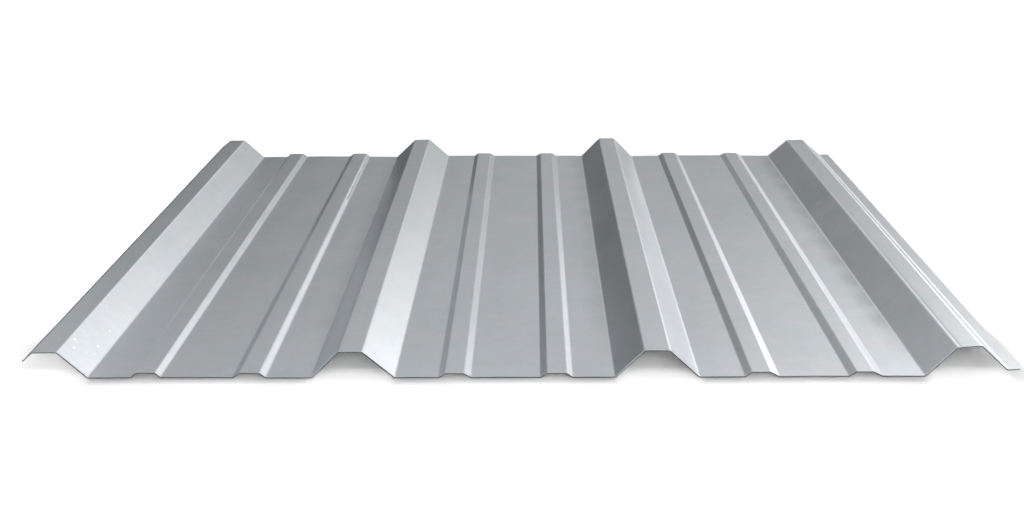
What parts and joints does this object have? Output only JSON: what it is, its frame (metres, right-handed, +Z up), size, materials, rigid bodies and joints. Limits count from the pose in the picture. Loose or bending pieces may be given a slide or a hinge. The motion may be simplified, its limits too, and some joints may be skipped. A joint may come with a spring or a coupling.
{
  "type": "corrugated metal roofing sheet",
  "caption": "Roll-formed coated steel sheet with tall trapezoidal ribs, low stiffening ribs between them, and overlap and underlap edges, for lapped roofing and wall cladding.",
  "frame": {"origin": "bottom centre of the bounding box: the middle of the overall width and of the length, on the underside plane of the flat pans", "axes": "+X across the ribs from the overlap edge to the underlap edge, +Y along the ribs, +Z up out of the weather face"},
  "size_m": [0.991, 0.9144, 0.0285],
  "materials": {
    "coated_steel": "hot-dip zinc-aluminium coating, satin, faintly mottled"
  },
  "bodies": {
    "root": {"ribbed_sheet": "coated_steel"}
  },
  "joints": []
}
